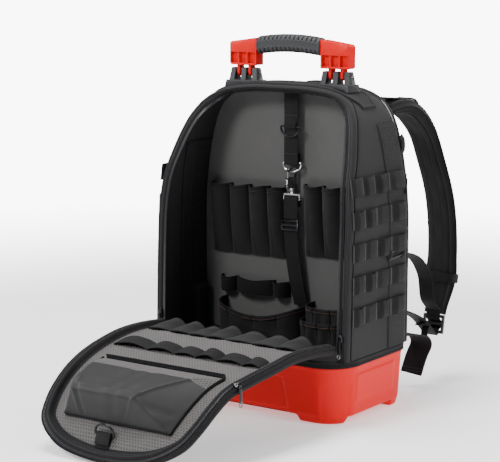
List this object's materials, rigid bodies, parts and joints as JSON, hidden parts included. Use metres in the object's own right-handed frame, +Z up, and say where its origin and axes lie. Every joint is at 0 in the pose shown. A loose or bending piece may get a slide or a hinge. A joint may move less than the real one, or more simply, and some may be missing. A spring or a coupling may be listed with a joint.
{
  "type": "tool backpack",
  "caption": "Open-front tool backpack with a moulded base tray, folding carry handle, side webbing, padded shoulder straps and a drop-down pocket flap.",
  "frame": {"origin": "centre of the base tray's footprint, on the floor", "axes": "+Z up, +Y towards the wearer's back, the open front and the flap towards -Y, +X to the right seen from the front"},
  "size_m": [0.3614, 0.7072, 0.5498],
  "materials": {
    "red_moulding": "satin",
    "dark_moulding": "matt",
    "grip_moulding": "ribbed",
    "body_cloth": "woven",
    "lining_cloth": "woven",
    "webbing_cloth": "woven",
    "dark_metal": "satin",
    "bright_metal": "polished"
  },
  "bodies": {
    "bag": {"base_tray": "red_moulding", "handle_plate": "dark_moulding", "flap_ring": "dark_metal", "strap_ring_upper": "dark_metal", "zip_pull_left": "dark_metal", "zip_pull_right": "dark_metal", "strap_ring_lower": "bright_metal", "snap_hook": "bright_metal", "snap_eye": "bright_metal", "slide_adjuster": "dark_metal", "body_shell": "body_cloth", "hem_band": "body_cloth", "flap_panel": "body_cloth", "hinge_strip": "body_cloth", "mouth_zip_tape": "webbing_cloth", "divider_board": "lining_cloth", "back_panel": "lining_cloth", "flap_tool_loops": "lining_cloth", "flap_elastic": "webbing_cloth", "flap_pocket": "lining_cloth", "flap_tab": "webbing_cloth", "sleeves_left": "lining_cloth", "sleeves_right": "lining_cloth", "plier_loops": "webbing_cloth", "pocket_left": "lining_cloth", "pocket_right_upper": "lining_cloth", "pocket_right_lower": "lining_cloth", "side_holder": "lining_cloth", "hanging_strap": "webbing_cloth", "lower_strap": "webbing_cloth", "handle_bracket_left": "dark_moulding", "handle_pin_left": "bright_metal", "side_band_left": "webbing_cloth", "side_webbing_left_1": "webbing_cloth", "side_webbing_left_2": "webbing_cloth", "side_webbing_left_3": "webbing_cloth", "side_webbing_left_4": "webbing_cloth", "side_webbing_left_5": "webbing_cloth", "shoulder_strap_left": "body_cloth", "load_lifter_left": "webbing_cloth", "ladder_lock_left": "dark_moulding", "strap_webbing_left": "webbing_cloth", "hip_belt_left": "webbing_cloth", "handle_bracket_right": "dark_moulding", "handle_pin_right": "bright_metal", "side_band_right": "webbing_cloth", "side_webbing_right_1": "webbing_cloth", "side_webbing_right_2": "webbing_cloth", "side_webbing_right_3": "webbing_cloth", "side_webbing_right_4": "webbing_cloth", "side_webbing_right_5": "webbing_cloth", "shoulder_strap_right": "body_cloth", "load_lifter_right": "webbing_cloth", "ladder_lock_right": "dark_moulding", "strap_webbing_right": "webbing_cloth", "hip_belt_right": "webbing_cloth"},
    "handle": {"handle_end_left": "red_moulding", "handle_end_right": "red_moulding", "handle_grip": "grip_moulding"},
    "bolt": {"snap_bolt": "bright_metal"}
  },
  "joints": [
    {"name": "handle_fold", "type": "hinge", "parent": "bag", "child": "handle", "pos_m": [0, 0.033, 0.491], "axis": [1, 0, 0], "range_deg": [-75, 75]},
    {"name": "bolt_slide", "type": "slide", "parent": "bag", "child": "bolt", "axis": [0, 0, -1], "range_m": [0, 0.006], "stiffness_N_per_m": 120, "springref_m": -0.004}
  ]
}
